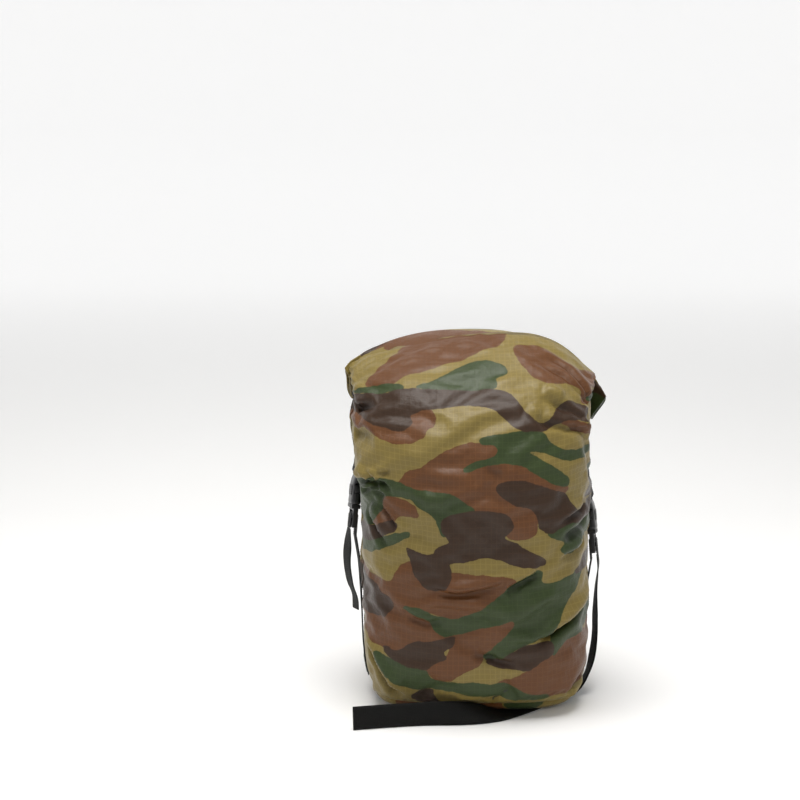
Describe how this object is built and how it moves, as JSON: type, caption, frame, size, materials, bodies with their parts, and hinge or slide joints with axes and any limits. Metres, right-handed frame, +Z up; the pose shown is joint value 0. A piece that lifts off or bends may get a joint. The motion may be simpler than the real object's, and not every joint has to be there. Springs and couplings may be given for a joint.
{
  "type": "stuff sack",
  "caption": "Roll-top compression stuff sack, packed full, with a webbing strap and side-release buckle down each side.",
  "frame": {"origin": "the middle of the patch of the base panel that rests on the ground", "axes": "+Z up the sack, +X to its right side and -Y to its front"},
  "size_m": [0.2858, 0.2121, 0.3965],
  "materials": {
    "ripstop": "woodland camouflage ripstop nylon, semi-gloss",
    "base_fabric": "woodland camouflage ripstop nylon, semi-gloss",
    "webbing": "ribbed black nylon webbing, matt",
    "buckle_plastic": "moulded black acetal, satin",
    "tape": "woven seam tape",
    "load": "soft packed bedding",
    "stiffener": "flexible polyethylene strip"
  },
  "bodies": {
    "sack": {"side_panel": "ripstop", "base_panel": "base_fabric", "base_seam_binding": "tape", "left_seam_tape": "tape", "right_seam_tape": "tape", "packed_load": "load", "rolled_mouth": "ripstop", "folded_neck": "ripstop", "mouth_stiffener": "stiffener", "left_anchor_patch": "ripstop", "left_lower_strap": "webbing", "left_strap_tail": "webbing", "left_upper_strap": "webbing", "left_buckle_plug": "buckle_plastic", "right_anchor_patch": "ripstop", "right_lower_strap": "webbing", "right_strap_tail": "webbing", "right_upper_strap": "webbing", "right_buckle_plug": "buckle_plastic"},
    "left_housing": {"left_buckle_housing": "buckle_plastic"},
    "left_front_arm": {"left_buckle_front_arm": "buckle_plastic"},
    "left_rear_arm": {"left_buckle_rear_arm": "buckle_plastic"},
    "right_housing": {"right_buckle_housing": "buckle_plastic"},
    "right_front_arm": {"right_buckle_front_arm": "buckle_plastic"},
    "right_rear_arm": {"right_buckle_rear_arm": "buckle_plastic"}
  },
  "joints": [
    {"name": "left_front_arm_press", "type": "hinge", "parent": "sack", "child": "left_front_arm", "pos_m": [-0.1283, 0.03133, 0.20583], "axis": [-0.9843, -0.1369, 0.1111], "range_deg": [0, 13], "stiffness_Nm_per_rad": 0.2},
    {"name": "left_rear_arm_press", "type": "hinge", "parent": "sack", "child": "left_rear_arm", "pos_m": [-0.1317, 0.05275, 0.20217], "axis": [0.9843, 0.1369, -0.1111], "range_deg": [0, 13], "stiffness_Nm_per_rad": 0.2},
    {"name": "left_buckle_release", "type": "slide", "parent": "sack", "child": "left_housing", "axis": [0.0854, 0.1812, 0.9797], "range_m": [0, 0.026], "deforming": ["left_upper_strap", "left_buckle_front_arm", "left_buckle_rear_arm"]},
    {"name": "right_front_arm_press", "type": "hinge", "parent": "sack", "child": "right_front_arm", "pos_m": [0.1283, 0.02633, 0.17883], "axis": [-0.9843, 0.1369, -0.1111], "range_deg": [0, 13], "stiffness_Nm_per_rad": 0.2},
    {"name": "right_rear_arm_press", "type": "hinge", "parent": "sack", "child": "right_rear_arm", "pos_m": [0.1317, 0.04776, 0.17517], "axis": [0.9843, -0.1369, 0.1111], "range_deg": [0, 13], "stiffness_Nm_per_rad": 0.2},
    {"name": "right_buckle_release", "type": "slide", "parent": "sack", "child": "right_housing", "axis": [-0.0854, 0.1812, 0.9797], "range_m": [0, 0.026], "deforming": ["right_upper_strap", "right_buckle_front_arm", "right_buckle_rear_arm"]}
  ]
}
